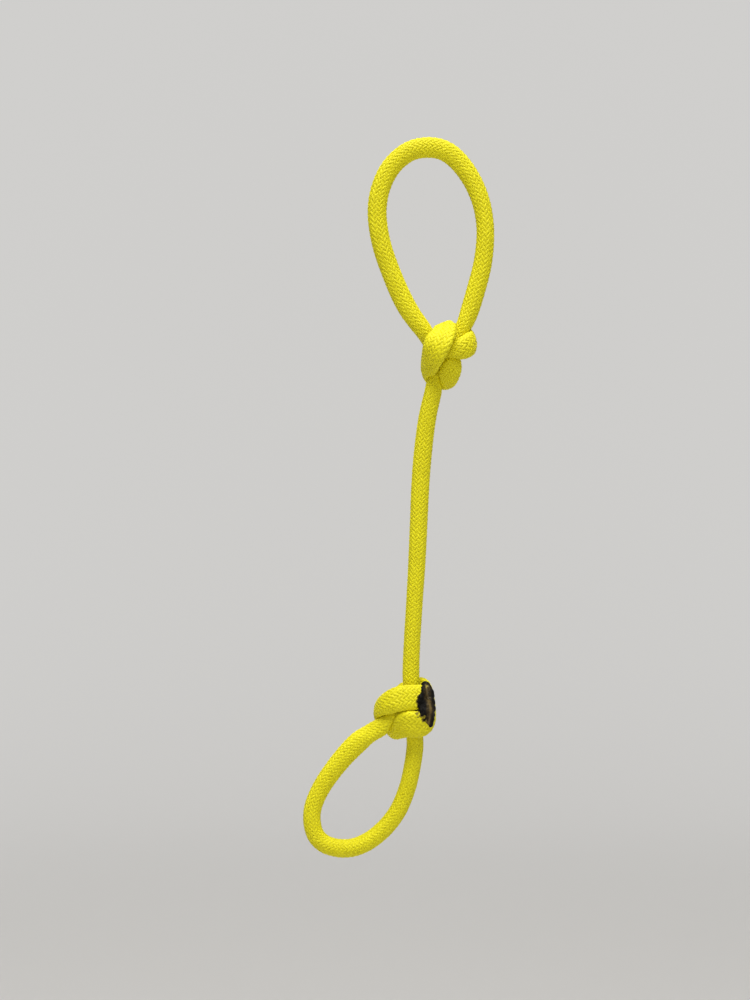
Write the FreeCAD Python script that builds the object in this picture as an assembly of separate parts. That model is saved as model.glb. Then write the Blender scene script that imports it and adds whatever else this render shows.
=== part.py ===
import FreeCAD, Part

import math
import os

# A short length of braided cord with an eye at each end. It hangs by the upper eye, and each eye is
# closed by a single overhand knot that the cord's end makes round its own standing part.
# Millimetres, +X to the right, +Z up, +Y away from the viewer. The origin is the inside of the upper
# eye's crown, where the cord rests on what it hangs from.

# Cord section
ROPE_DIAMETER = 4.0
SHEATH_WALL = 0.5
CORE_CLEARANCE = 0.05
OUTER_CORE_YARNS = 6

# Cord section where the knots squeeze it
KNOT_DIAMETER = 3.0
KNOT_SHEATH_WALL = 0.4

# Places of the two knots' middles, and the length of cord that bends at each joint. The drop is from
# the middle of the cord at the upper eye's crown.
UPPER_KNOT_X = 2.5
UPPER_KNOT_DROP = 48.0
LOWER_KNOT_X = -7.4
KNOT_SPACING = 81.6
FLEX_LENGTH = 5.0

# Heat-sealed cord ends
SEAL_THICKNESS = 0.8
SEAL_OVERHANG = 0.1
SEAL_ROUNDING = 0.56
SMEAR_THICKNESS = 0.8
SMEAR_HALF_ANGLE = 62.0
SMEAR_CLEARANCE = 0.1
SMEAR_STATIONS = 12
SMEAR_END_SHARE = 0.35
SMEAR_FACES = FreeCAD.Vector(-0.2, -1.0, 0.0)

# The lower knot's points between which the melted smear lies on the strand
SMEAR_FROM_POINT = 9
SMEAR_TO_POINT = 12

# The share of a run that an arc takes at each end, and how finely forms and gaps are divided
ARC_SHARE = 0.45
FLEX_STATIONS = 6
GAP_STEP = 0.25
SEARCH_STEP = 0.05
SHORTEST_LEG = 1e-6
SAME_PLACE = 0.01
LEAST_GAP = 0.4

# Parts of the cord that lie closer along it than this many diameters are neighbours, not a crossing
NEIGHBOUR_DIAMETERS = 1.6

# The knots' points were chosen for a squeezed cord of this diameter, and grow with it
KNOT_DRAWN_FOR = 3.0

# Route of the cord, from its hidden end in the upper knot to its burnt end in the lower knot.
# Points of the knots and eyes are measured from the middle of their own knot.
UPPER_TURN = [
    (-1.2, -2.4, 0.1), (0.9, -3.4, 0.7), (3.4, -4.1, 1.4), (5.7, -2.5, 2.4), (6.2, 1.0, 3.5),
    (4.5, 3.9, 4.3), (1.8, 4.5, 5.1), (-0.1, 2.4, 6.0), (-0.6, -0.4, 6.2), (-1.2, -3.8, 5.1),
    (-2.5, -5.9, 2.9), (-4.0, -5.6, 0.7), (-5.5, -3.2, -1.0), (-6.1, 0.2, -2.8), (-5.3, 3.4, -4.3),
    (-3.2, 4.8, -5.4), (-0.6, 3.8, -6.0), (1.4, 1.4, -5.3), (2.0, -0.3, -3.2), (1.7, 0.0, -0.6),
    (1.5, 0.6, 1.5), (2.0, 0.4, 3.4), (3.1, 0.0, 5.3), (4.0, 0.0, 7.2),
]
UPPER_EYE = [
    (4.9, 0.0, 9.9), (6.3, 0.0, 15.0), (8.0, 0.0, 21.5), (8.8, 0.0, 29.4), (7.6, 0.0, 37.0),
    (4.6, 0.0, 43.7), (0.5, 0.0, 47.7), (-3.9, 0.0, 48.7), (-9.0, 0.0, 47.4), (-13.9, 0.0, 42.3),
    (-16.4, 0.0, 34.7), (-15.8, 0.0, 25.9), (-12.9, 0.0, 16.9), (-10.2, 0.0, 11.6),
]
UPPER_STANDING = [
    (-7.7, 0.0, 8.3), (-5.7, 0.0, 5.8), (-4.0, 0.6, 3.2), (-2.7, 1.2, 0.6), (-2.2, 1.2, -2.1),
    (-2.5, 0.3, -4.7), (-3.3, 0.0, -8.3),
]
# The shank's points: the share of the way from one knot's last point to the next knot's first, and
# how far to the side of that straight line
SHANK_UPPER = [(0.085, -1.0), (0.19, -1.5), (0.31, -1.7), (0.455, -1.4)]
SHANK_LOWER = [(0.60, -1.0), (0.75, -0.9), (0.895, -0.5)]
LOWER_STANDING = [
    (1.6, 0.0, 7.6), (1.7, 0.0, 4.7), (1.8, 0.7, 1.9), (2.0, 1.0, -1.7), (2.2, 0.2, -5.4),
    (2.4, 0.0, -8.7),
]
LOWER_EYE = [
    (1.8, 0.0, -12.5), (-0.2, 0.0, -18.0), (-3.5, 0.0, -24.0), (-7.9, 0.0, -29.6),
    (-13.4, 0.0, -32.3), (-19.2, 0.0, -30.1), (-21.6, 0.0, -24.7), (-20.0, 0.0, -19.2),
    (-16.0, 0.0, -12.9), (-11.7, 0.0, -8.2),
]
LOWER_TURN = [
    (-8.4, 0.0, -5.9), (-5.7, 0.0, -4.0), (-3.8, 0.0, -2.6), (-2.5, 0.4, -0.8), (-2.0, 0.4, 1.4),
    (-1.8, 1.8, 3.5), (-0.6, 4.0, 4.8), (1.7, 4.7, 5.3), (3.8, 3.6, 5.4), (5.3, 0.9, 4.5),
    (6.0, -0.8, 2.4), (5.9, -1.8, -0.1), (4.8, -3.8, -2.2), (2.7, -5.4, -3.4), (0.4, -5.2, -4.3),
    (-1.4, -3.2, -5.4), (-2.2, 0.0, -6.1), (-3.2, 2.9, -5.7), (-4.7, 4.3, -3.5), (-6.3, 3.6, -1.7),
    (-7.2, 0.7, -0.3), (-6.6, -2.5, 0.8), (-4.8, -4.4, 1.5), (-2.5, -4.5, 2.3), (0.0, -3.7, 2.6),
    (2.9, -3.4, 2.4),
]


def knot_points(points, knot_middle):
    """Points given from a knot's middle, grown with the squeezed cord and set in their place."""
    growth = KNOT_DIAMETER / KNOT_DRAWN_FOR
    return [knot_middle + FreeCAD.Vector(*point) * growth for point in points]


def eye_points(points, knot_middle):
    """Points of an eye, given from its knot's middle."""
    return [knot_middle + FreeCAD.Vector(*point) for point in points]


def shank_points(shares, start, end):
    """Points beside the straight line from start to end, each set off along X."""
    return [start + (end - start) * share + FreeCAD.Vector(side, 0, 0) for share, side in shares]


def route_sections():
    """The route's points as one list for each stretch between two joints."""
    upper = FreeCAD.Vector(UPPER_KNOT_X, 0, ROPE_DIAMETER / 2 - UPPER_KNOT_DROP)
    lower = FreeCAD.Vector(LOWER_KNOT_X, 0, upper.z - KNOT_SPACING)
    upper_standing = knot_points(UPPER_STANDING, upper)
    lower_standing = knot_points(LOWER_STANDING, lower)
    shank_ends = (upper_standing[-1], lower_standing[0])
    return [
        ("upper_knot_turn", knot_points(UPPER_TURN, upper)),
        ("upper_eye", eye_points(UPPER_EYE, upper)),
        ("upper_knot_standing", upper_standing),
        ("shank_upper", shank_points(SHANK_UPPER, *shank_ends)),
        ("shank_lower", shank_points(SHANK_LOWER, *shank_ends)),
        ("lower_knot_standing", lower_standing),
        ("lower_eye", eye_points(LOWER_EYE, lower)),
        ("lower_knot_turn", knot_points(LOWER_TURN, lower)),
    ]


class Leg:
    """One straight or round leg of the cord's middle line."""

    def __init__(self, start, direction, length, centre=None):
        self.start = start
        self.direction = direction
        self.length = length
        self.centre = centre

    def axis(self):
        """The axis that a round leg turns about."""
        return self.direction.cross(self.centre - self.start).normalize()

    def turn_at(self, distance):
        """The turn made by a round leg over a distance from its start."""
        angle = math.degrees(distance / (self.centre - self.start).Length)
        return FreeCAD.Rotation(self.axis(), angle)

    def carry(self, offset, distance):
        """Where a point set off from the start of the leg lies after a distance along it."""
        if self.centre is None:
            return self.start + offset + self.direction * distance
        return self.centre + self.turn_at(distance).multVec(self.start + offset - self.centre)

    def turned(self, vector, distance):
        """A direction fixed to the cord, after a distance along the leg."""
        if self.centre is None:
            return FreeCAD.Vector(vector)
        return self.turn_at(distance).multVec(vector)

    def part(self, first, last):
        """The stretch of the leg between two distances from its start."""
        return Leg(self.carry(FreeCAD.Vector(), first), self.turned(self.direction, first),
                   last - first, self.centre)

    def edge(self, offset):
        """The edge that a point set off from the leg's start draws."""
        end = self.carry(offset, self.length)
        if self.centre is None:
            return Part.LineSegment(self.start + offset, end).toShape()
        middle = self.carry(offset, self.length / 2)
        return Part.Arc(self.start + offset, middle, end).toShape()


def round_route(points):
    """Straight runs joined by tangent arcs, each arc as large as its two runs allow."""
    legs = []
    radii = []
    last = points[0]
    for before, corner, after in zip(points, points[1:], points[2:]):
        incoming = corner - before
        outgoing = after - corner
        cut = ARC_SHARE * min(incoming.Length, outgoing.Length)
        turn = incoming.getAngle(outgoing)
        radius = cut / math.tan(turn / 2)
        incoming.normalize()
        outgoing.normalize()
        start = corner - incoming * cut
        legs.append(Leg(last, incoming, (start - last).Length))
        towards_centre = (outgoing - incoming * incoming.dot(outgoing)).normalize()
        legs.append(Leg(start, incoming, radius * turn, start + towards_centre * radius))
        last = corner + outgoing * cut
        radii.append(radius)
    run = points[-1] - last
    legs.append(Leg(last, FreeCAD.Vector(run).normalize(), run.Length))
    return legs, radii


class Path:
    """A chain of legs, measured by the distance from its start."""

    def __init__(self, legs):
        self.legs = legs
        self.length = sum(leg.length for leg in legs)

    def locate(self, distance):
        """The leg at a distance, and how far along that leg it is."""
        for leg in self.legs:
            if distance <= leg.length:
                return leg, distance
            distance -= leg.length
        return self.legs[-1], self.legs[-1].length

    def point(self, distance):
        leg, along = self.locate(distance)
        return leg.carry(FreeCAD.Vector(), along)

    def direction(self, distance):
        leg, along = self.locate(distance)
        return leg.turned(leg.direction, along)

    def nearest(self, target):
        """The distance at which the path passes nearest to a point."""
        steps = range(int(self.length / SEARCH_STEP))
        return SEARCH_STEP * min(
            steps, key=lambda index: self.point(index * SEARCH_STEP).distanceToPoint(target))

    def part(self, first, last):
        """The stretch of the path between two distances."""
        legs = []
        passed = 0.0
        for leg in self.legs:
            low = max(first - passed, 0.0)
            high = min(last - passed, leg.length)
            if high - low > SHORTEST_LEG:
                legs.append(leg.part(low, high))
            passed += leg.length
        return Path(legs)

    def carried(self, vector, distance):
        """A direction square to the start of the path, carried along it without twist."""
        for leg in self.legs:
            if distance <= leg.length:
                return leg.turned(vector, distance)
            vector = leg.turned(vector, leg.length)
            distance -= leg.length
        return vector

    def wire(self, offset):
        """The wire that a point set off from the path's start draws."""
        edges = []
        for leg in self.legs:
            edges.append(leg.edge(offset))
            offset = leg.turned(offset, leg.length)
        return Part.Wire(edges)


def square_to(direction):
    """A unit vector square to a direction, turned as near to +Y as it can be."""
    side = FreeCAD.Vector(0, 1, 0)
    return (side - direction * side.dot(direction)).normalize()


def circle_wire(middle, direction, radius):
    return Part.Wire(Part.Circle(middle, direction, radius).toShape())


def even_tube(path, offset, radius):
    """A round solid of one radius along a path, its middle set off from the path's."""
    start = path.point(0)
    wire = path.wire(offset)
    profile = circle_wire(start + offset, path.direction(0), radius)
    return wire.makePipeShell([profile], True, False)


def tapered_tube(path, offsets, radii):
    """A round solid between two offsets and two radii, straight between its stations."""
    rings = []
    for index in range(FLEX_STATIONS):
        share = index / (FLEX_STATIONS - 1)
        distance = path.length * share
        offset = offsets[0] * (1 - share) + offsets[1] * share
        middle = path.point(distance) + path.carried(offset, distance)
        radius = radii[0] * (1 - share) + radii[1] * share
        rings.append(circle_wire(middle, path.direction(distance), radius))
    return Part.makeLoft(rings, True, True)


class Section:
    """The cord's section: a braided sheath round a middle yarn and the ring of yarns about it."""

    def __init__(self, diameter, wall):
        self.radius = diameter / 2
        self.bore = self.radius - wall
        self.yarn = (self.bore - 2 * CORE_CLEARANCE) / 3
        self.ring = 2 * self.yarn + CORE_CLEARANCE

    def yarn_offsets(self, across, direction):
        """Middles of the core yarns, one in the middle and the rest round it."""
        offsets = [FreeCAD.Vector()]
        for index in range(OUTER_CORE_YARNS):
            angle = 360.0 * index / OUTER_CORE_YARNS
            offsets.append(FreeCAD.Rotation(direction, angle).multVec(across) * self.ring)
        return offsets

    def area(self):
        """Area of the sheath's ring."""
        return math.pi * (self.radius ** 2 - self.bore ** 2)


FREE = Section(ROPE_DIAMETER, SHEATH_WALL)
SQUEEZED = Section(KNOT_DIAMETER, KNOT_SHEATH_WALL)

# The section of each stretch of the route, and the bending place between each two of them
STRETCH_SECTIONS = [SQUEEZED, FREE, SQUEEZED, FREE, FREE, SQUEEZED, FREE, SQUEEZED]
FLEX_NAMES = [
    "upper_neck", "upper_neck", "shank_top", "shank_middle", "shank_foot", "lower_neck", "lower_neck",
]


def even_stretch(path, across, section):
    """Sheath and core yarns of a stretch with one section all along."""
    outside = even_tube(path, FreeCAD.Vector(), section.radius)
    inside = even_tube(path, FreeCAD.Vector(), section.bore)
    yarns = [even_tube(path, offset, section.yarn)
             for offset in section.yarn_offsets(across, path.direction(0))]
    return outside.cut(inside), yarns


def tapered_stretch(path, across, first, last):
    """Sheath and core yarns of a short stretch that goes from one section to another."""
    none = FreeCAD.Vector()
    outside = tapered_tube(path, (none, none), (first.radius, last.radius))
    inside = tapered_tube(path, (none, none), (first.bore, last.bore))
    direction = path.direction(0)
    pairs = zip(first.yarn_offsets(across, direction), last.yarn_offsets(across, direction))
    yarns = [tapered_tube(path, pair, (first.yarn, last.yarn)) for pair in pairs]
    return outside.cut(inside), yarns


def end_seal(middle, direction, section):
    """The melted button on a cut end: a disc with a rounded outer edge, flat on the cord's end."""
    disc = Part.makeCylinder(section.radius + SEAL_OVERHANG, SEAL_THICKNESS, middle, direction)
    far_middle = middle + direction * SEAL_THICKNESS
    circles = [edge for edge in disc.Edges if isinstance(edge.Curve, Part.Circle)]
    rim = [edge for edge in circles if edge.Curve.Center.distanceToPoint(far_middle) < SAME_PLACE]
    return disc.makeFillet(min(SEAL_ROUNDING, SEAL_THICKNESS), rim)


def smear(path, section):
    """Melted cord smeared over the strand beside the burnt end: a crescent that swells and thins."""
    wires = []
    inner = section.radius + SMEAR_CLEARANCE
    for index in range(SMEAR_STATIONS):
        share = index / (SMEAR_STATIONS - 1)
        distance = path.length * share
        swell = SMEAR_END_SHARE + (1 - SMEAR_END_SHARE) * math.sin(math.pi * share)
        direction = path.direction(distance)
        facing = (SMEAR_FACES - direction * SMEAR_FACES.dot(direction)).normalize()
        middle = path.point(distance)
        half = SMEAR_HALF_ANGLE * swell
        left = middle + FreeCAD.Rotation(direction, -half).multVec(facing) * inner
        right = middle + FreeCAD.Rotation(direction, half).multVec(facing) * inner
        under = middle + facing * inner
        over = middle + facing * (inner + SMEAR_THICKNESS * swell)
        wires.append(Part.Wire([Part.Arc(left, over, right).toShape(),
                                Part.Arc(right, under, left).toShape()]))
    return Part.makeLoft(wires, True, True)


def least_gap(path, diameter_at):
    """Least gap between parts of the cord that aren't next to each other, on points of its middle."""
    count = int(path.length / GAP_STEP)
    places = [path.length * index / count for index in range(count + 1)]
    points = [path.point(place) for place in places]
    least = None
    for first, point in enumerate(points):
        for second in range(first + 1, len(points)):
            if places[second] - places[first] < NEIGHBOUR_DIAMETERS * ROPE_DIAMETER:
                continue
            apart = point.distanceToPoint(points[second])
            gap = apart - (diameter_at(places[first]) + diameter_at(places[second])) / 2
            if least is None or gap < least:
                least = gap
    return least


def diameter_at(place, starts, ends, kinds):
    """The cord's diameter at a place on the route, tapering over each joint."""
    for index, kind in enumerate(kinds):
        if place <= ends[index]:
            if place >= starts[index] or index == 0:
                return 2 * kind.radius
            share = (place - ends[index - 1]) / (starts[index] - ends[index - 1])
            return 2 * (kinds[index - 1].radius * (1 - share) + kind.radius * share)
    return 2 * kinds[-1].radius


def joint_places(route, sections):
    """Where the cord bends: the middle of the run between each two sections of the route."""
    joints = []
    for (_, before), (_, after) in zip(sections, sections[1:]):
        joints.append(route.nearest((before[-1] + after[0]) / 2))
    return joints


def stretch_nodes(route, sections, starts, ends):
    """Sheath and core of each stretch between two joints."""
    nodes = {}
    across = square_to(route.direction(0))
    for (name, _), kind, start, end in zip(sections, STRETCH_SECTIONS, starts, ends):
        path = route.part(start, end)
        sheath, yarns = even_stretch(path, route.carried(across, start), kind)
        nodes[name + "_sheath"] = [sheath]
        nodes[name + "_core"] = yarns
        expected = kind.area() * path.length
        print(name, "length", round(path.length, 2), "sheath volume", round(sheath.Volume, 2),
              "section x length", round(expected, 2))
    return nodes


def flex_nodes(route, starts, ends):
    """Sheath and core of each short stretch that bends at a joint. An eye's two necks are one node."""
    nodes = {}
    across = square_to(route.direction(0))
    for index, name in enumerate(FLEX_NAMES):
        start = ends[index]
        path = route.part(start, starts[index + 1])
        kinds = STRETCH_SECTIONS[index:index + 2]
        sheath, yarns = tapered_stretch(path, route.carried(across, start), *kinds)
        nodes.setdefault(name + "_sheath", []).append(sheath)
        nodes.setdefault(name + "_core", []).extend(yarns)
        middle = route.point(start + FLEX_LENGTH / 2)
        print(name, "joint at", [round(value, 3) for value in middle], "volume", round(sheath.Volume, 2))
    return nodes


def burnt_nodes(route, lower_turn):
    """The two heat-sealed ends, and what melted over the strand beside the lower one."""
    first, last = lower_turn[SMEAR_FROM_POINT], lower_turn[SMEAR_TO_POINT]
    smeared = route.part(route.nearest(first), route.nearest(last))
    return {
        "upper_end_seal": [end_seal(route.point(0), -route.direction(0), SQUEEZED)],
        "lower_end_seal": [end_seal(lower_turn[-1], route.direction(route.length), SQUEEZED)],
        "lower_melted_smear": [smear(smeared, SQUEEZED)],
    }


def export(name, solids):
    """Write one node: one solid, or a group of separate solids."""
    shape = solids[0] if len(solids) == 1 else Part.makeCompound(solids)
    shape.exportStep("parts/" + name + ".step")


def main():
    os.makedirs("parts", exist_ok=True)
    sections = route_sections()
    points = [point for _, stretch in sections for point in stretch]
    legs, radii = round_route(points)
    route = Path(legs)
    joints = joint_places(route, sections)
    starts = [0.0] + [joint + FLEX_LENGTH / 2 for joint in joints]
    ends = [joint - FLEX_LENGTH / 2 for joint in joints] + [route.length]

    nodes = stretch_nodes(route, sections, starts, ends)
    nodes.update(flex_nodes(route, starts, ends))
    nodes.update(burnt_nodes(route, sections[-1][1]))
    for name, solids in nodes.items():
        export(name, solids)
        print(name, len(solids), "solids", "valid", all(solid.isValid() for solid in solids))

    print("cord length", round(route.length, 1))
    print("bend radii", [round(radius, 1) for radius in radii])
    gap = least_gap(route, lambda place: diameter_at(place, starts, ends, STRETCH_SECTIONS))
    print("least gap of the cord to itself", round(gap, 2), "wanted over", LEAST_GAP)


main()
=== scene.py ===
"""The looks of a thin braided cord with an eye at each end, which hangs by its upper eye.

Each eye is closed by one overhand knot. The sheath is made strand by strand: 32 strands cross over
two and under two on a surface that is drawn flat where the knots press it. Lengths are metres, but
the route's tables and the melt's are in millimetres.
"""

import logging
import math
from dataclasses import dataclass, field
from enum import Enum

import bmesh
import bpy
import numpy as np
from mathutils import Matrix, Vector, noise

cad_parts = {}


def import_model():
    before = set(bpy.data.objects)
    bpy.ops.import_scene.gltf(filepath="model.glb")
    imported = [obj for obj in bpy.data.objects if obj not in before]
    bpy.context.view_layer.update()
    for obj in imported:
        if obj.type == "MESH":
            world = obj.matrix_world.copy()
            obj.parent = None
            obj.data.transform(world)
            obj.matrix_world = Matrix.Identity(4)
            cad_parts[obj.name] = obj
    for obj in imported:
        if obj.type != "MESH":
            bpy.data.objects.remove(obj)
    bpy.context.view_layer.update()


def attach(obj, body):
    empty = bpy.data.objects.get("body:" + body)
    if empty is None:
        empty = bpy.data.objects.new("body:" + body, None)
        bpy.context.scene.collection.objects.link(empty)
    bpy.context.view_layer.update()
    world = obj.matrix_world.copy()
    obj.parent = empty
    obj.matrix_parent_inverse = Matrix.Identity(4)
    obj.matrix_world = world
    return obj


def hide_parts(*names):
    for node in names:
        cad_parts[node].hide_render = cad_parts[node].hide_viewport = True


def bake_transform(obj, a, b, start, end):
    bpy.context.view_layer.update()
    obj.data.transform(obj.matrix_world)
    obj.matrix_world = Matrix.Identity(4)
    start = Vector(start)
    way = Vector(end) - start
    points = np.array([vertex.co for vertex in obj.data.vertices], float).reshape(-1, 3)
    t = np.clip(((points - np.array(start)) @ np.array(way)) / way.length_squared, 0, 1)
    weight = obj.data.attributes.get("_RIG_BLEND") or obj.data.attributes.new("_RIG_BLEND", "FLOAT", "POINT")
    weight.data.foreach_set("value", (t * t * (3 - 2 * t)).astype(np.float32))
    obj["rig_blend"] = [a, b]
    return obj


LOG = logging.getLogger("cord")
MM_PER_METRE = 1000
FULL_TURN = 2 * math.pi
TOWARD_VIEWER = np.array([0.0, -1.0, 0.0])

Place = tuple[float, float, float, float]
Point = tuple[float, float, float]
Colour = tuple[float, float, float]


class Slot(Enum):
    """The record's material slots."""

    SHEATH = "braided_sheath"
    CORE = "core_yarn"
    MELTED = "melted_cord"


class Lie(Enum):
    """How the wide side of the cord's section lies."""

    FACING = "in the plane of the eyes"
    WRAPPED = "on what the cord bends round"


def srgb(red: int, green: int, blue: int) -> Colour:
    """Turn a screen colour, 0 to 255, into the linear colour that a shader takes."""
    shares = [value / 255 for value in (red, green, blue)]
    return tuple(v / 12.92 if v <= 0.04045 else ((v + 0.055) / 1.055) ** 2.4 for v in shares)


def smoothed(values: np.ndarray, reach: float) -> np.ndarray:
    """Blur rows of values along their first axis.

    Args:
        values: The rows.
        reach: The spread of the blur, in rows.

    Returns:
        The blurred rows.
    """
    half = max(1, int(3 * reach))
    weights = np.exp(-0.5 * (np.arange(-half, half + 1) / reach) ** 2)
    weights /= weights.sum()
    padded = np.concatenate([np.repeat(values[:1], half, 0), values, np.repeat(values[-1:], half, 0)])
    blurred = np.zeros_like(values, dtype=float)
    for index, weight in enumerate(weights):
        blurred += weight * padded[index:index + len(values)]
    return blurred


def unit(vectors: np.ndarray) -> np.ndarray:
    """Scale vectors, held along the last axis, to a length of one."""
    return vectors / np.maximum(np.linalg.norm(vectors, axis=-1, keepdims=True), 1e-12)


@dataclass(frozen=True)
class Stretch:
    """A stretch of the cord's route, with each point's place and the cord's width there.

    Its rows are the spacing of the braid's rows at its start and at its end, in metres.
    """

    name: str
    places: tuple[Place, ...]
    middle: Point
    rows: tuple[float, float]
    lie: Lie

    def points(self) -> list[Point]:
        """Give the points in the frame of the whole object, in metres."""
        return [tuple(self.middle[k] + place[k] / MM_PER_METRE for k in range(3)) for place in self.places]

    def widths(self) -> list[float]:
        """Give the cord's width at each point, in metres."""
        return [place[3] / MM_PER_METRE for place in self.places]


@dataclass
class Route:
    """The whole cord's route, from its hidden end in the upper knot to its burnt end in the lower one.

    Each row holds a point and the cord's width there. The points are measured from the middle of the
    nearer knot, and the shank's from the origin.
    """

    upper_middle: Point = (0.0025, 0.0, -0.0460)
    lower_middle: Point = (-0.0074, 0.0, -0.1276)

    upper_turn: tuple[Place, ...] = (
        (-1.4, -2.2, 0.3, 4.2), (0.6, -3.1, 0.4, 4.8), (2.7, -3.8, 1.0, 5.4), (4.5, -3.0, 1.8, 5.6),
        (5.3, -0.8, 3.1, 5.4), (4.7, 1.8, 4.7, 5.2), (2.8, 3.4, 5.4, 5.0), (0.6, 2.9, 5.8, 5.4),
        (-1.4, 0.2, 6.6, 7.0), (-1.3, -3.2, 5.4, 7.5), (-1.8, -5.4, 3.5, 7.5), (-2.9, -5.9, 1.5, 7.3),
        (-3.7, -5.0, -0.4, 7.1), (-4.4, -2.8, -2.2, 6.4), (-4.8, 0.2, -3.5, 5.4), (-4.2, 2.5, -4.6, 5.0),
        (-2.5, 3.4, -5.5, 5.0), (-1.4, 2.8, -6.1, 4.8), (-0.5, 1.0, -6.5, 4.6), (0.1, -1.5, -5.4, 5.0),
        (0.6, -2.7, -3.1, 5.9), (0.7, -1.9, -0.6, 5.4), (1.4, -0.4, 1.4, 4.4), (2.1, 0.1, 3.4, 4.0),
        (3.0, 0.0, 5.3, 4.1), (4.0, 0.0, 7.2, 4.3))
    upper_eye: tuple[Place, ...] = (
        (5.0, 0.0, 9.9, 4.4), (6.5, 0.0, 14.9, 4.5), (8.25, 0.0, 21.4, 4.4), (8.9, 0.0, 29.4, 4.1),
        (7.5, 0.0, 36.8, 4.3), (4.1, 0.0, 43.1, 4.6), (0.1, 0.0, 47.1, 4.8), (-4.1, 0.0, 48.2, 4.9),
        (-9.3, 0.0, 47.3, 4.7), (-14.2, 0.0, 42.6, 4.6), (-16.7, 0.0, 34.9, 4.5), (-15.7, 0.0, 26.0, 4.5),
        (-12.4, 0.0, 17.1, 4.6), (-9.9, 0.0, 11.7, 4.7))
    upper_standing: tuple[Place, ...] = (
        (-7.7, 0.0, 8.3, 4.4), (-5.6, 0.0, 5.7, 4.2), (-3.9, 0.6, 3.2, 4.0), (-2.8, 1.1, 0.6, 3.8),
        (-2.4, 1.1, -2.1, 3.8), (-2.7, 0.3, -4.7, 4.0), (-3.3, 0.0, -8.3, 4.1))
    shank: tuple[Place, ...] = (
        (-2.2, 0.0, -59.9, 4.2), (-3.1, 0.0, -66.7, 4.3), (-3.8, 0.0, -74.5, 4.3), (-4.2, 0.0, -83.9, 4.2),
        (-4.6, 0.0, -93.3, 4.1), (-5.2, 0.0, -103.0, 3.9), (-5.8, 0.0, -112.4, 3.9))
    lower_standing: tuple[Place, ...] = (
        (1.3, 0.0, 7.6, 4.0), (1.6, 0.0, 4.7, 4.0), (1.8, 0.5, 1.9, 3.8), (2.0, 0.7, -1.7, 3.8),
        (2.2, 0.2, -5.4, 3.9), (2.4, 0.0, -8.7, 4.0))
    lower_eye: tuple[Place, ...] = (
        (1.9, 0.0, -12.5, 4.0), (0.75, 0.0, -18.3, 4.0), (-2.0, 0.0, -25.0, 4.1),
        (-7.5, 0.0, -30.6, 4.2), (-13.6, 0.0, -33.0, 4.3), (-20.4, 0.0, -31.1, 4.2),
        (-22.0, 0.0, -24.7, 4.1), (-19.8, 0.0, -18.8, 4.3), (-15.6, 0.0, -12.9, 4.6),
        (-11.4, 0.0, -8.3, 5.0))
    lower_turn: tuple[Place, ...] = (
        (-8.3, -0.3, -5.9, 5.2), (-5.8, -1.2, -4.3, 5.0), (-3.9, -1.8, -3.0, 4.7), (-2.2, -1.6, -1.4, 4.6),
        (-1.3, 0.1, 0.3, 4.6), (-1.3, 2.4, 1.9, 4.6), (-0.6, 3.6, 2.9, 4.8), (1.4, 4.2, 3.8, 5.0),
        (3.4, 3.4, 4.5, 5.0), (4.8, 1.3, 4.3, 5.3), (5.45, -0.9, 2.8, 5.8), (5.5, -2.5, 0.4, 6.2),
        (5.0, -4.1, -2.3, 6.9), (3.1, -5.0, -3.1, 7.1), (0.6, -4.7, -2.75, 7.4), (-1.7, -3.0, -3.6, 7.2),
        (-2.9, -0.2, -4.8, 5.4), (-3.6, 2.5, -4.7, 5.0), (-4.7, 3.6, -3.2, 5.0), (-5.6, 2.9, -1.8, 5.1),
        (-5.8, 0.4, -0.6, 5.1), (-5.0, -2.3, 0.8, 5.1), (-3.5, -3.9, 1.85, 5.6), (-1.6, -4.5, 2.6, 6.3),
        (0.8, -4.2, 2.8, 6.7), (3.9, -3.7, 2.8, 6.4))

    def stretches(self) -> list[Stretch]:
        """Name the route's stretches.

        Returns:
            The stretches in their order along the cord.
        """
        upper, lower, none = self.upper_middle, self.lower_middle, (0.0, 0.0, 0.0)
        return [
            Stretch("upper_turn", self.upper_turn, upper, (0.00106, 0.00106), Lie.WRAPPED),
            Stretch("upper_eye", self.upper_eye, upper, (0.00113, 0.00117), Lie.FACING),
            Stretch("upper_standing", self.upper_standing, upper, (0.00112, 0.00108), Lie.FACING),
            Stretch("shank", self.shank, none, (0.00106, 0.00093), Lie.FACING),
            Stretch("lower_standing", self.lower_standing, lower, (0.00092, 0.00092), Lie.FACING),
            Stretch("lower_eye", self.lower_eye, lower, (0.00092, 0.00099), Lie.FACING),
            Stretch("lower_turn", self.lower_turn, lower, (0.00100, 0.00100), Lie.WRAPPED),
        ]


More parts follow.
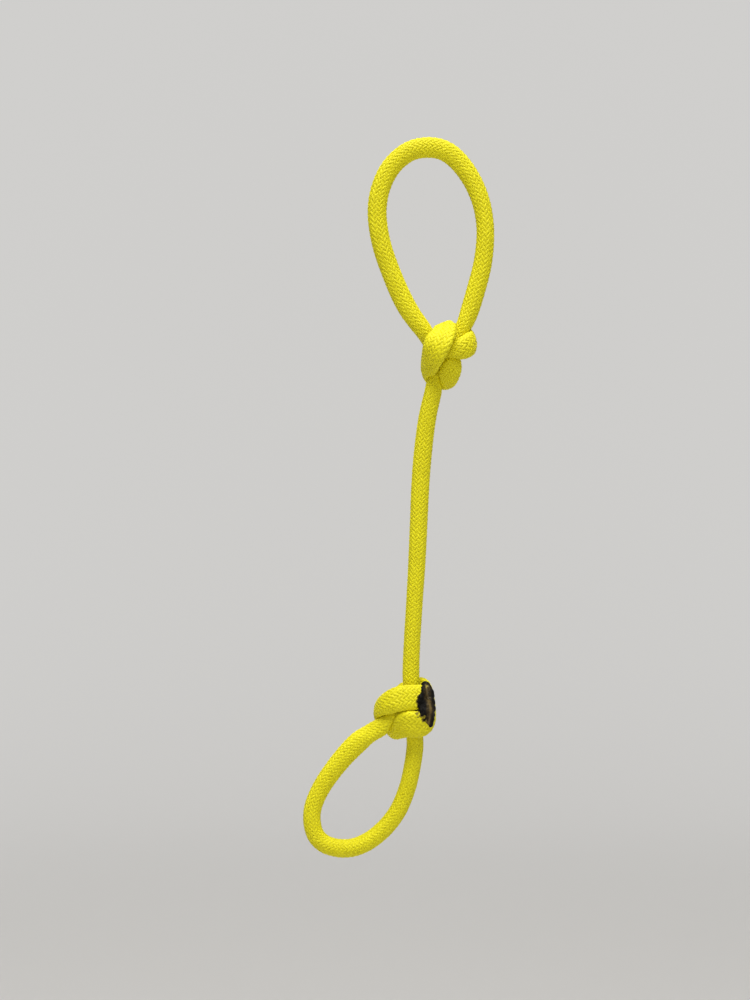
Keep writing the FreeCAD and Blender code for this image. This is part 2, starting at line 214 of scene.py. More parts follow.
@dataclass
class CordLine:
    """The cord's middle line, read from one smooth spline, with a frame that doesn't twist."""

    route: Route
    step: float = 0.00019
    spline_order: int = 3
    spline_resolution: int = 16
    line_blur: float = 1.5
    width_blur: float = 0.001
    row_blur: float = 0.003
    search_ahead: float = 0.03
    past_shank: tuple[float, float] = (0.006, 0.008)

    def __post_init__(self) -> None:
        """Read the spline's points and set the stations and their frames."""
        stretches = self.route.stretches()
        control = np.array([point for stretch in stretches for point in stretch.points()])
        fine = self.read_spline(control)
        lengths = np.concatenate([[0], np.cumsum(np.linalg.norm(np.diff(fine, axis=0), axis=1))])
        self.length = float(lengths[-1])
        count = int(round(self.length / self.step)) + 1
        self.along = np.linspace(0, self.length, count)
        self.points = np.stack([np.interp(self.along, lengths, fine[:, k]) for k in range(3)], axis=1)
        self.points = smoothed(self.points, self.line_blur)
        self.directions = unit(np.gradient(self.points, axis=0))
        self.across, self.beside = self.carried_frame()
        self.find_marks(stretches, control)

    def read_spline(self, control: np.ndarray) -> np.ndarray:
        """Make a spline on the route and read the points that Blender gives for it.

        Args:
            control: The spline's control points.

        Returns:
            The points along it.
        """
        curve = bpy.data.curves.new("route", "CURVE")
        curve.dimensions = "3D"
        curve.resolution_u = self.spline_resolution
        spline = curve.splines.new("NURBS")
        spline.points.add(len(control) - 1)
        for point, place in zip(spline.points, control):
            point.co = (*place, 1.0)
        spline.order_u = self.spline_order
        spline.use_endpoint_u = True
        holder = bpy.data.objects.new("route", curve)
        mesh = bpy.data.meshes.new_from_object(holder)
        found = np.array([vertex.co for vertex in mesh.vertices])
        bpy.data.meshes.remove(mesh)
        bpy.data.objects.remove(holder)
        bpy.data.curves.remove(curve)
        return found

    def carried_frame(self) -> tuple[np.ndarray, np.ndarray]:
        """Carry two directions square to the line along it, without twist.

        Returns:
            The two directions at each station.
        """
        first = self.directions[0]
        side = -TOWARD_VIEWER
        side = side - first * side.dot(first)
        across = np.empty_like(self.points)
        for index, direction in enumerate(self.directions):
            side = side - direction * side.dot(direction)
            side = side / np.linalg.norm(side)
            across[index] = side
        return across, np.cross(self.directions, across)

    def find_marks(self, stretches: list[Stretch], control: np.ndarray) -> None:
        """Find where each stretch ends and how wide and how turned the cord is at each station.

        Args:
            stretches: The route's stretches.
            control: The control points of them all.
        """
        stations = []
        last = 0
        for place in control:
            window = self.points[last:last + int(self.search_ahead / self.step)]
            last += int(np.argmin(np.linalg.norm(window - place, axis=1)))
            stations.append(last)
        numbers = np.arange(len(self.points))
        widths = [width for stretch in stretches for width in stretch.widths()]
        self.widths = smoothed(np.interp(numbers, stations, widths), self.width_blur / self.step)
        wrapped = [float(stretch.lie is Lie.WRAPPED) for stretch in stretches for _ in stretch.places]
        self.wrapped = smoothed(np.interp(numbers, stations, wrapped), self.width_blur / self.step)
        rows = [row for stretch in stretches for row in np.linspace(*stretch.rows, len(stretch.places))]
        spacing = smoothed(np.interp(numbers, stations, rows), self.row_blur / self.step)
        self.rows_passed = np.concatenate([[0], np.cumsum(self.step / spacing[:-1])])
        middles = [stretch.middle for stretch in stretches for _ in stretch.places]
        picks = np.searchsorted(stations, numbers).clip(0, len(stations) - 1)
        self.from_middle = self.points - np.array(middles)[picks]
        self.ends = {}
        passed = 0
        for stretch in stretches:
            self.ends[stretch.name] = (stations[passed], stations[passed + len(stretch.places) - 1])
            passed += len(stretch.places)

    def station_at_height(self, height: float) -> int:
        """Find a place on the shank.

        Args:
            height: How high it is.

        Returns:
            The nearest station.
        """
        (first, last), (above, below) = self.ends["shank"], self.past_shank
        low, high = first - int(above / self.step), last + int(below / self.step)
        return low + int(np.argmin(np.abs(self.points[low:high, 2] - height)))


@dataclass
class SheathSurface:
    """The middle surface of the braid, as a grid of stations along the cord and places round it."""

    line: CordLine
    diameter: float = 0.0040
    relief: float = 0.00017
    around: int = 96
    angles: int = 48
    contact_step: int = 2
    neighbour: float = 0.0058
    contact_reach: float = 0.0075
    contact_clearance: float = 0.00006
    contact_hardness: float = 9.0
    contact_blur: float = 0.0004
    free_limit: float = 1.0
    least_limit: float = 0.0004
    section_blur: float = 0.0011
    core_of_knot: float = 0.0016
    skin_of_knot: float = 0.0036
    upper_levelling: float = 0.45
    lower_levelling: float = 0.20

    def __post_init__(self) -> None:
        """Work out the sections, press them on each other and spread the grid evenly round them."""
        line = self.line
        self.turns = FULL_TURN * np.arange(self.angles) / self.angles
        self.offsets = self.spread_evenly(self.pressed(self.free_radii()))
        self.grid = (line.points[:, None, :] + self.offsets[:, :, :1] * line.across[:, None, :]
                     + self.offsets[:, :, 1:] * line.beside[:, None, :])
        self.normals = self.find_normals()

    def free_radii(self) -> np.ndarray:
        """Work out each section's radius at each angle, before neighbours press on it.

        Returns:
            A row of radii for each station.
        """
        line = self.line
        distance = np.linalg.norm(line.from_middle, axis=1, keepdims=True)
        share = np.clip((distance - self.core_of_knot) / (self.skin_of_knot - self.core_of_knot), 0, 1)
        wrapped = line.wrapped[:, None]
        trust = (wrapped * share * share * (3 - 2 * share) + (1 - wrapped))[:, :, None]
        upper = line.points[:, 2:] > (line.route.upper_middle[2] + line.route.lower_middle[2]) / 2
        rise = np.where(upper, self.upper_levelling, self.lower_levelling)
        levelled = np.concatenate([line.from_middle[:, :2], line.from_middle[:, 2:] * rise], axis=1)
        facing = unit(levelled) * wrapped + TOWARD_VIEWER * (1 - wrapped)
        flat = unit(np.stack([(facing * line.across).sum(1), (facing * line.beside).sum(1)], axis=1))
        wide = np.stack([-flat[:, 1], flat[:, 0]], axis=1)
        round_half = self.diameter / 2
        half_width = (line.widths / 2)[:, None, None]
        half_thick = round_half ** 2 / half_width
        half_width = half_width * trust + round_half * (1 - trust)
        half_thick = half_thick * trust + round_half * (1 - trust)
        tensor = (half_width * wide[:, :, None] * wide[:, None, :]
                  + half_thick * flat[:, :, None] * flat[:, None, :])
        tensor = smoothed(tensor.reshape(-1, 4), self.section_blur / line.step).reshape(-1, 2, 2)
        ways = np.stack([np.cos(self.turns), np.sin(self.turns)])
        return 1 / np.linalg.norm(np.linalg.inv(tensor) @ ways, axis=1) - self.relief

    def pressed(self, radii: np.ndarray) -> np.ndarray:
        """Hold each section back where another part of the cord lies against it.

        Args:
            radii: The free sections.

        Returns:
            The pressed sections.
        """
        line = self.line
        picks = np.arange(0, len(line.points), self.contact_step)
        centres, along = line.points[picks], line.along[picks]
        limits = np.full((len(picks), self.angles), self.free_limit)
        for row, pick in enumerate(picks):
            apart = centres - centres[row]
            distance = np.linalg.norm(apart, axis=1)
            near = (distance < self.contact_reach) & (np.abs(along - along[row]) > self.neighbour)
            if not near.any():
                continue
            ways = (np.cos(self.turns)[:, None] * line.across[pick]
                    + np.sin(self.turns)[:, None] * line.beside[pick])
            toward = np.maximum(ways @ apart[near].T, 1e-6)
            limits[row] = (distance[near] ** 2 / (2 * toward)).min(axis=1)
        limits = np.stack([np.interp(np.arange(len(line.points)), picks, limits[:, column])
                           for column in range(self.angles)], axis=1)
        limits = np.maximum(limits - self.contact_clearance - self.relief / 2, self.least_limit)
        power = self.contact_hardness
        held = (radii ** -power + limits ** -power) ** (-1 / power)
        held = smoothed(held, self.contact_blur / line.step)
        return (held + 0.5 * np.roll(held, 1, 1) + 0.5 * np.roll(held, -1, 1)) / 2

    def spread_evenly(self, radii: np.ndarray) -> np.ndarray:
        """Place the grid's points evenly round each section, with the least twist along the cord.

        Args:
            radii: Each section's radius at each angle.

        Returns:
            Each grid point's offset from the middle line, along the two carried directions.
        """
        angles = FULL_TURN * np.arange(self.angles + 1) / self.angles
        closed = np.concatenate([radii, radii[:, :1]], axis=1)
        x, y = closed * np.cos(angles), closed * np.sin(angles)
        pieces = np.hypot(np.diff(x, axis=1), np.diff(y, axis=1))
        walked = np.concatenate([np.zeros((len(x), 1)), np.cumsum(pieces, axis=1)], axis=1)
        walked /= walked[:, -1:]
        lead = (walked - angles / FULL_TURN)[:, :-1].mean(axis=1)
        wanted = np.arange(self.around) / self.around
        offsets = np.empty((len(x), self.around, 2))
        for row in range(len(x)):
            places = wanted + lead[row]
            offsets[row, :, 0] = np.interp(places, walked[row], x[row], period=1.0)
            offsets[row, :, 1] = np.interp(places, walked[row], y[row], period=1.0)
        return offsets

    def find_normals(self) -> np.ndarray:
        """Find the outward direction at each grid point.

        Returns:
            The directions.
        """
        around = np.roll(self.grid, -1, axis=1) - np.roll(self.grid, 1, axis=1)
        normals = unit(np.cross(around, np.gradient(self.grid, axis=0)))
        outward = ((self.grid - self.line.points[:, None, :]) * normals).sum(2).mean()
        return normals * np.sign(outward)

    def at(self, stations: np.ndarray, share: np.ndarray) -> tuple[np.ndarray, np.ndarray]:
        """Give the surface's places and outward directions.

        Args:
            stations: Where along the cord.
            share: Where round the cord, in turns.

        Returns:
            The places and the outward directions.
        """
        place = (share % 1.0) * self.around
        left = place.astype(int) % self.around
        right = (left + 1) % self.around
        over = (place - np.floor(place))[:, None]
        places, normals = [table[stations, left] * (1 - over) + table[stations, right] * over
                           for table in (self.grid, self.normals)]
        return places, unit(normals)


def mark(mesh: bpy.types.Mesh, name: str, values: np.ndarray) -> None:
    """Give each point of a mesh a number that its material reads."""
    layer = mesh.attributes.new(name, "FLOAT", "POINT")
    layer.data.foreach_set("value", values.astype(np.float32))


def link(name: str, data: bpy.types.ID) -> bpy.types.Object:
    """Make an object of a mesh, lamp or camera and put it in the scene.

    Args:
        name: The object's name.
        data: What it holds.

    Returns:
        The object.
    """
    made = bpy.data.objects.new(name, data)
    bpy.context.scene.collection.objects.link(made)
    return made


@dataclass
class Part:
    """A mesh in the making, with one float per vertex for each of its attributes."""

    name: str
    vertices: list[np.ndarray] = field(default_factory=list)
    faces: list[np.ndarray] = field(default_factory=list)
    attributes: dict[str, list[np.ndarray]] = field(default_factory=dict)
    count: int = 0

    def add_strip(self, rings: np.ndarray, closed: bool, **facts: np.ndarray) -> None:
        """Add rows of points, joined to their neighbours by four-sided faces.

        Args:
            rings: The points, as rows along the strip and columns across it.
            closed: Whether the last column joins the first.
            facts: An attribute's values, for each point, row or column, or for them all.
        """
        rows, columns = rings.shape[:2]
        numbers = self.count + np.arange(rows * columns).reshape(rows, columns)
        right = np.roll(numbers, -1, axis=1)
        wanted = columns if closed else columns - 1
        quads = np.stack([numbers[:-1], right[:-1], right[1:], numbers[1:]], axis=2)[:, :wanted]
        self.vertices.append(rings.reshape(-1, 3))
        self.faces.append(quads.reshape(-1, 4))
        self.count += rows * columns
        for key, values in facts.items():
            spread = np.broadcast_to(values, (rows, columns)).reshape(-1)
            self.attributes.setdefault(key, []).append(spread)

    def finish(self, material: bpy.types.Material) -> bpy.types.Object:
        """Make the object.

        Args:
            material: Its material.

        Returns:
            The object.
        """
        mesh = bpy.data.meshes.new(self.name)
        mesh.from_pydata(np.concatenate(self.vertices), [], np.concatenate(self.faces).tolist())
        mesh.polygons.foreach_set("use_smooth", [True] * len(mesh.polygons))
        for key, values in self.attributes.items():
            mark(mesh, key, np.concatenate(values))
        mesh.update()
        mesh.materials.append(material)
        return link(self.name, mesh)


@dataclass
class Braid:
    """The sheath's strands: 16 that wind each way, each over two and under two of the others."""

    surface: SheathSurface
    each_way: int = 16
    crossings_per_wave: int = 4
    wave: float = 0.00008
    squareness: float = 1.5
    half_width: float = 0.00036
    narrowing: float = 0.13
    shoulder: float = 0.62
    crown: float = 0.00009
    skirt: float = 0.00012
    lining_depth: float = 0.00020
    lining_sides: int = 24
    lining_tint: float = 0.3
    front_height: float = -0.080
    apex_turn: float = 4.5
    apex_column: float = 3.5
    margin: int = 2
    uneven_blur: float = 4.0
    uneven_width: float = 0.03
    uneven_height: float = 0.000008
    girth_blur: float = 3.0
    girth_range: tuple[float, float] = (0.7, 1.4)
    fibre_shift: float = 3.7
    seed: int = 11

    def __post_init__(self) -> None:
        """Turn the braid so that a column of chevrons runs down the front of the shank."""
        line = self.surface.line
        middle = line.station_at_height(self.front_height)
        angle = math.atan2(TOWARD_VIEWER @ line.beside[middle], TOWARD_VIEWER @ line.across[middle])
        apex = (angle + math.radians(self.apex_turn)) / FULL_TURN
        self.phase = apex - self.apex_column / (2 * self.each_way)
        chance = np.random.default_rng(self.seed)
        self.tints = chance.uniform(0, 1, 2 * self.each_way)
        size = (2 * self.each_way, len(line.points))
        self.unevenness = smoothed(chance.normal(0, 1, size).T, self.uneven_blur)
        self.unevenness /= self.unevenness.std()
        self.spread = self.girth()

    def girth(self) -> np.ndarray:
        """Measure the way round each section.

        Returns:
            The ways round, as shares of the free cord's.
        """
        surface = self.surface
        steps = np.roll(surface.offsets, -1, axis=1) - surface.offsets
        lengths = np.linalg.norm(steps, axis=2).sum(axis=1)
        free = FULL_TURN * (surface.diameter / 2 - surface.relief)
        return np.clip(smoothed(lengths / free, self.girth_blur), *self.girth_range)

    def add_strands(self, part: Part, first: int, last: int) -> None:
        """Add the strands of a run of the cord.

        Args:
            part: The mesh.
            first: The run's first station.
            last: The run's last station.
        """
        line = self.surface.line
        low, high = max(0, first - self.margin), min(len(line.points) - 1, last + self.margin)
        stations = np.arange(low, high + 1)
        keep = slice(first - low, last - low + 1)
        passed = line.rows_passed[stations] / self.each_way
        across = np.array([-1.0, -self.shoulder, 0.0, self.shoulder, 1.0])
        arch = np.array([-self.skirt, 0.5 * self.crown, self.crown, 0.5 * self.crown, -self.skirt])
        for index, tint in enumerate(self.tints):
            sign = 1 if index < self.each_way else -1
            turn = index % self.each_way / self.each_way + sign * passed
            swing = np.cos(FULL_TURN * (2 * self.each_way * turn - 0.5) / self.crossings_per_wave)
            swing = sign * np.tanh(self.squareness * swing) / math.tanh(self.squareness)
            places, normals = self.surface.at(stations, turn + self.phase)
            sides = unit(np.cross(normals, unit(np.gradient(places, axis=0))))
            rough = self.unevenness[stations, index]
            width = self.half_width * self.spread[stations] * (1 - self.narrowing * (1 - swing))
            width *= 1 + self.uneven_width * rough
            height = arch + (self.wave * swing + self.uneven_height * rough)[:, None]
            rings = (places[:, None, :] + sides[:, None, :] * (across * width[:, None])[:, :, None]
                     + normals[:, None, :] * height[:, :, None])
            # The rise, 0 at a strand's lowest and 1 at its crown, is what the sheath's material paints its
            # crease shade by.
            rise = (height + self.wave + self.skirt) / (2 * self.wave + self.crown + self.skirt)
            part.add_strip(
                rings[keep], False, rise=rise[keep], tint=np.array(tint),
                across=across / 2 + 0.5 + self.fibre_shift * index,
                along=line.along[first:last + 1, None] * MM_PER_METRE)

    def add_lining(self, part: Part, first: int, last: int) -> None:
        """Add the skin of fibres that closes the gaps between the strands; it is painted in the strands' full
        crease shade.

        Args:
            part: The mesh.
            first: The run's first station.
            last: The run's last station.
        """
        surface = self.surface
        every = surface.around // self.lining_sides
        rings = (surface.grid - self.lining_depth * surface.normals)[first:last + 1, ::every]
        # A rise of 0 gives the lining the full painted crease shade.
        part.add_strip(rings, True, rise=np.array(0.0), tint=np.array(self.lining_tint),
                       across=np.array(0.5), along=np.array(0.0))


@dataclass
class Yarns:
    """The core yarns, one in the middle and six round it, which flatten with the sheath."""

    surface: SheathSurface
    round_middle: int = 6
    places_out: float = 0.50
    radius: float = 0.00044
    thinnest: float = 0.00006
    lining: float = 0.00024
    sides: int = 8
    every: int = 5
    grain_shift: float = 1.7

    def add_yarns(self, part: Part, first: int, last: int) -> None:
        """Add the yarns of a run of the cord.

        Args:
            part: The mesh.
            first: The run's first station.
            last: The run's last station.
        """
        surface, line = self.surface, self.surface.line
        picks = np.unique(np.append(np.arange(first, last, self.every), last))
        across, beside = line.across[picks], line.beside[picks]
        nearest = np.linalg.norm(surface.offsets[picks], axis=2).min(axis=1)
        radius = np.clip((1 - self.places_out) * nearest - self.lining, self.thinnest, self.radius)
        turns = FULL_TURN * np.arange(self.sides) / self.sides
        ring = (np.cos(turns)[None, :, None] * across[:, None, :]
                + np.sin(turns)[None, :, None] * beside[:, None, :])
        for number in range(1 + self.round_middle):
            middle = line.points[picks]
            if number:
                column = (number - 1) * surface.around // self.round_middle
                offset = surface.offsets[picks, column] * self.places_out
                middle += offset[:, :1] * across + offset[:, 1:] * beside
            rings = middle[:, None, :] + radius[:, None, None] * ring
            part.add_strip(rings, True, along=line.along[picks, None] * MM_PER_METRE,
                           across=np.array(number * self.grain_shift))


@dataclass(frozen=True)
class Socket:
    """An output of a node, which Python's operators join with Math nodes."""

    graph: "Graph"
    socket: bpy.types.NodeSocket | None

    def math(self, operation: str, *values: "Socket | float") -> "Socket":
        """Add a Math node that does an operation on these values."""
        return self.graph.add("ShaderNodeMath", {"operation": operation}, dict(enumerate(values)))

    def __add__(self, other: "Socket | float") -> "Socket":
        """Add a value."""
        return self.math("ADD", self, other)

    def __radd__(self, other: float) -> "Socket":
        """Add to a number."""
        return self.math("ADD", other, self)

    def __sub__(self, other: "Socket | float") -> "Socket":
        """Take a value off."""
        return self.math("SUBTRACT", self, other)

    def __rsub__(self, other: float) -> "Socket":
        """Take this off a number."""
        return self.math("SUBTRACT", other, self)

    def __mul__(self, other: "Socket | float") -> "Socket":
        """Multiply by a value."""
        return self.math("MULTIPLY", self, other)

    def __rmul__(self, other: float) -> "Socket":
        """Multiply a number."""
        return self.math("MULTIPLY", other, self)

    def between(self, low: float, high: float) -> "Socket":
        """Turn the values from low to high into a smooth mask from 0 to 1."""
        return self.graph.add("ShaderNodeMapRange", {"interpolation_type": "SMOOTHSTEP"},
                              {"Value": self, "From Min": low, "From Max": high})


class Graph:
    """The nodes of one material, or of the world."""

    def __init__(self, name: str, holder: bpy.types.ID | None = None) -> None:
        """Make the material and empty it.

        Args:
            name: The material's name.
            holder: The world, where the nodes are the world's.
        """
        self.material = holder or bpy.data.materials.new(name)
        self.material.use_nodes = True
        self.tree = self.material.node_tree
        self.tree.nodes.clear()

    def add(self, kind: str, settings: dict, inputs: dict, output: str | int = 0) -> Socket:
        """Add a node.

        Args:
            kind: The node's type.
            settings: Its settings.
            inputs: The values or links of its sockets, by name or number.
            output: The output that is wanted, by name or number.

        Returns:
            That output.
        """
        node = self.tree.nodes.new(kind)
        for key, value in settings.items():
            setattr(node, key, value)
        for key, value in inputs.items():
            if isinstance(value, Socket):
                self.tree.links.new(value.socket, node.inputs[key])
            else:
                node.inputs[key].default_value = value
        return Socket(self, node.outputs[output] if node.outputs else None)

    def attribute(self, name: str) -> Socket:
        """Read a number that the mesh holds at each of its points."""
        return self.add("ShaderNodeAttribute", {"attribute_name": name}, {}, "Fac")

    def place(self) -> Socket:
        """Give the place on the object, in metres."""
        return self.add("ShaderNodeTexCoord", {}, {}, "Object")

    def noise(self, place: Socket, scale: float, detail: float) -> Socket:
        """Add a noise with a mean of a half, read at a place."""
        return self.add("ShaderNodeTexNoise", {}, {"Vector": place, "Scale": scale, "Detail": detail}, "Fac")

    def grain(self, stretch: float, scale: float, detail: float) -> Socket:
        """Add a noise that is drawn out along the strand or yarn."""
        inputs = {0: self.attribute("across"), 1: self.attribute("along") * stretch}
        return self.noise(self.add("ShaderNodeCombineXYZ", {}, inputs), scale, detail)

    def bump(self, height: Socket, strength: float, distance: float) -> Socket:
        """Add the normal of a fine relief."""
        return self.add("ShaderNodeBump", {}, {"Strength": strength, "Distance": distance, "Height": height})

    def mixed(self, share: Socket, first: Socket | Colour, second: Colour) -> Socket:
        """Mix two colours, by the share of the second."""
        start = first if isinstance(first, Socket) else (*first, 1.0)
        return self.add("ShaderNodeMix", {"data_type": "RGBA"}, {0: share, 6: start, 7: (*second, 1.0)}, 2)

    def surface(self, **sockets: object) -> bpy.types.Material:
        """Add the Principled shader and the output.

        Args:
            sockets: The shader's inputs, with _ for a space.

        Returns:
            The finished material.
        """
        inputs = {key.replace("_", " "): value for key, value in sockets.items()}
        shader = self.add("ShaderNodeBsdfPrincipled", {}, inputs, "BSDF")
        self.add("ShaderNodeOutputMaterial", {}, {"Surface": shader})
        return self.material


@dataclass(frozen=True)
class BraidFinish:
    """Matt, bright yellow nylon strands, with painted olive shade in their creases, and pale rims from loose
    fibre.
    """

    strand: Colour = srgb(236, 226, 8)
    pale_strand: Colour = srgb(248, 240, 20)
    # Painted shade: the olive colour painted into the hollows between the strands.
    painted_crease_shade: Colour = srgb(150, 116, 2)
    painted_shade_ends: tuple[float, float] = (0.08, 0.62)
    painted_shade_share: float = 0.80
    scorched: Colour = srgb(74, 44, 14)
    scorch_ends: tuple[float, float] = (0.40, 0.95)
    scorch_share: float = 0.85
    roughness: float = 0.62
    uneven_roughness: float = 0.14
    sheen: float = 0.13
    sheen_tint: Colour = srgb(255, 255, 160)
    fibres: float = 26.0
    fibre_stretch: float = 0.12
    fibre_paleness: float = 0.3
    fibre_shade_swing: float = 0.16
    clouds: float = 190.0
    cloud_paleness: float = 1.2
    strand_paleness: float = 0.5
    flecks: float = 2600.0
    fleck_scorch: float = 1.1
    bump: float = 0.00003
    bump_strength: float = 0.5

    def material(self) -> bpy.types.Material:
        """Make the material.

        Returns:
            The material.
        """
        graph = Graph(Slot.SHEATH.value + "_finish")
        fibre = graph.grain(self.fibre_stretch, self.fibres, detail=2.0) - 0.5
        cloud = graph.noise(graph.place(), self.clouds, detail=3.0) - 0.5
        fleck = graph.noise(graph.place(), self.flecks, detail=2.0) - 0.5
        pale = (graph.attribute("tint") * self.strand_paleness + cloud * self.cloud_paleness
                + (fibre + 0.5) * self.fibre_paleness)
        # Painted shade: the lower a point lies on its strand (its rise), the more olive shade is painted on
        # it, and the fibre noise moves that shade a little.
        depth = 1.0 - graph.attribute("rise").between(*self.painted_shade_ends)
        colour = graph.mixed(pale, self.strand, self.pale_strand)
        depth = depth * self.painted_shade_share - fibre * self.fibre_shade_swing
        colour = graph.mixed(depth, colour, self.painted_crease_shade)
        burnt = (graph.attribute("scorch") + fleck * self.fleck_scorch).between(*self.scorch_ends)
        colour = graph.mixed(burnt * self.scorch_share, colour, self.scorched)
        return graph.surface(
            Base_Color=colour, Roughness=self.roughness + fibre * self.uneven_roughness,
            Normal=graph.bump(fibre, self.bump_strength, self.bump), Sheen_Weight=self.sheen,
            Sheen_Roughness=0.35, Sheen_Tint=(*self.sheen_tint, 1.0), Specular_IOR_Level=0.35)


@dataclass(frozen=True)
class YarnFinish:
    """Off-white core yarns with a fine lengthwise grain."""

    pale: Colour = srgb(236, 234, 222)
    dark: Colour = srgb(196, 192, 176)
    roughness: float = 0.7
    grain: float = 14.0
    grain_stretch: float = 0.2
    bump: float = 0.00004
    bump_strength: float = 0.4

    def material(self) -> bpy.types.Material:
        """Make the material.

        Returns:
            The material.
        """
        graph = Graph(Slot.CORE.value + "_finish")
        grain = graph.grain(self.grain_stretch, self.grain, detail=3.0)
        return graph.surface(Base_Color=graph.mixed(grain, self.dark, self.pale), Roughness=self.roughness,
                             Normal=graph.bump(grain, self.bump_strength, self.bump))


@dataclass(frozen=True)
class MeltedFinish:
    """Melted and charred cord: glossy, black at its rim and toffee brown where the melt is thin, with a
    painted glint near its top.
    """

    char: Colour = srgb(10, 8, 4)
    brown: Colour = srgb(48, 38, 17)
    brown_ends: tuple[float, float] = (0.25, 0.70)
    toffee: Colour = srgb(116, 96, 50)
    toffee_ends: tuple[float, float] = (0.62, 1.15)
    painted_glint_colour: Colour = srgb(178, 162, 62)
    painted_glint_ends: tuple[float, float] = (0.45, 1.0)
    gloss_ends: tuple[float, float] = (0.5, 1.1)
    roughness: float = 0.6
    uneven_roughness: float = 0.28
    gloss: float = 0.25
    drawn_out: Point = (1.0, 1.0, 0.28)
    clouds: float = 1100.0
    cloud_level: float = 1.3
    cloud_glint: float = 1.2
    spots: float = 3200.0
    spot_level: float = 0.45
    spot_glint: float = 0.5
    bump: float = 0.00008
    bump_strength: float = 0.6

    def material(self) -> bpy.types.Material:
        """Make the material.

        Returns:
            The material.
        """
        graph = Graph(Slot.MELTED.value + "_finish")
        place = graph.add("ShaderNodeVectorMath", {"operation": "MULTIPLY"},
                          {0: graph.place(), 1: self.drawn_out}, "Vector")
        cloud = graph.noise(place, self.clouds, detail=4.0) - 0.5
        spots = graph.noise(graph.place(), self.spots, detail=2.0) - 0.5
        level = graph.attribute("thin") + cloud * self.cloud_level + spots * self.spot_level
        glint = graph.attribute("bright") + cloud * self.cloud_glint + spots * self.spot_glint
        colour = graph.mixed(level.between(*self.brown_ends), self.char, self.brown)
        colour = graph.mixed(level.between(*self.toffee_ends), colour, self.toffee)
        # Painted highlight: a pale glint colour laid on where the bright mark and the noise are high.
        colour = graph.mixed(glint.between(*self.painted_glint_ends), colour, self.painted_glint_colour)
        return graph.surface(
            Base_Color=colour, Roughness=self.roughness + cloud * self.uneven_roughness,
            Coat_Weight=level.between(*self.gloss_ends) * self.gloss, Coat_Roughness=0.16,
            Specular_IOR_Level=0.12, Normal=graph.bump(spots, self.bump_strength, self.bump))


@dataclass(frozen=True)
class PlainFinish:
    """The matt, pale finish of the floor and backdrop, which takes the object's shadow near it.

    Further off, it is one even pale tone, the same as the room's behind it.
    """

    colour: Colour = srgb(205, 204, 202)
    far_tone: Colour = srgb(208, 207, 205)
    near: float = 0.20
    far: float = 0.85

    def material(self) -> bpy.types.Material:
        """Make the material.

        Returns:
            The material.
        """
        graph = Graph("backdrop_finish")
        cloth = graph.add("ShaderNodeBsdfDiffuse", {}, {"Color": (*self.colour, 1.0)}, "BSDF")
        tone = graph.add("ShaderNodeEmission", {}, {"Color": (*self.far_tone, 1.0)})
        distance = graph.add("ShaderNodeVectorMath", {"operation": "LENGTH"}, {0: graph.place()}, "Value")
        share = distance.between(self.near, self.far) * seen_directly(graph)
        mixed = graph.add("ShaderNodeMixShader", {}, {0: share, 1: cloth, 2: tone})
        graph.add("ShaderNodeOutputMaterial", {}, {"Surface": mixed})
        return graph.material


def seen_directly(graph: Graph) -> Socket:
    """Give 1 where the camera sees a surface, itself or in gloss or glass, and 0 where it only gives light.

    Args:
        graph: The material's graph.

    Returns:
        The share.
    """
    camera, gloss, glass = [graph.add("ShaderNodeLightPath", {}, {}, name)
                            for name in ("Is Camera Ray", "Is Glossy Ray", "Is Transmission Ray")]
    return camera.math("MAXIMUM", camera.math("MAXIMUM", camera, gloss), glass)


@dataclass(frozen=True)
class Joint:
    """Where the cord bends: its place, the way the cord runs through it, and the bodies it joins."""

    place: Point
    way: Point
    before: str
    after: str
    reach_before: float = 0.0050
    reach_after: float = 0.0050

    def blend(self, piece: bpy.types.Object) -> None:
        """Let a piece bend at this joint.

        Args:
            piece: The piece.
        """
        way = Vector(self.way).normalized()
        start = Vector(self.place) - way * self.reach_before
        end = Vector(self.place) + way * self.reach_after
        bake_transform(piece, self.before, self.after, start=tuple(start), end=tuple(end))


class Bend(Enum):
    """The cord's five bending places."""

    UPPER_NECK = Joint((0.00025, 0.0, -0.03676), (-0.1047, 0.0, -0.9945),
                       "upper_eye", "upper_knot", 0.0050, 0.0026)
    SHANK_TOP = Joint((-0.00152, 0.0, -0.05710), (-0.10, 0.0, -1.0),
                      "upper_knot", "shank_upper", 0.0028, 0.0060)
    SHANK_MIDDLE = Joint((-0.00464, 0.0, -0.08894), (-0.03, 0.0, -1.0), "shank_upper", "shank_lower")
    SHANK_FOOT = Joint((-0.00579, 0.0, -0.11656), (0.0, 0.0, -1.0),
                       "shank_lower", "lower_knot", 0.0060, 0.0030)
    LOWER_NECK = Joint((-0.01138, 0.0, -0.13643), (-0.279, 0.0, -0.960),
                       "lower_knot", "lower_eye", 0.0026, 0.0050)


@dataclass(frozen=True)
class Run:
    """A run of the cord that is one piece of its sheath and one of its core."""

    name: str
    bend: Bend
    stands_for: tuple[str, ...]


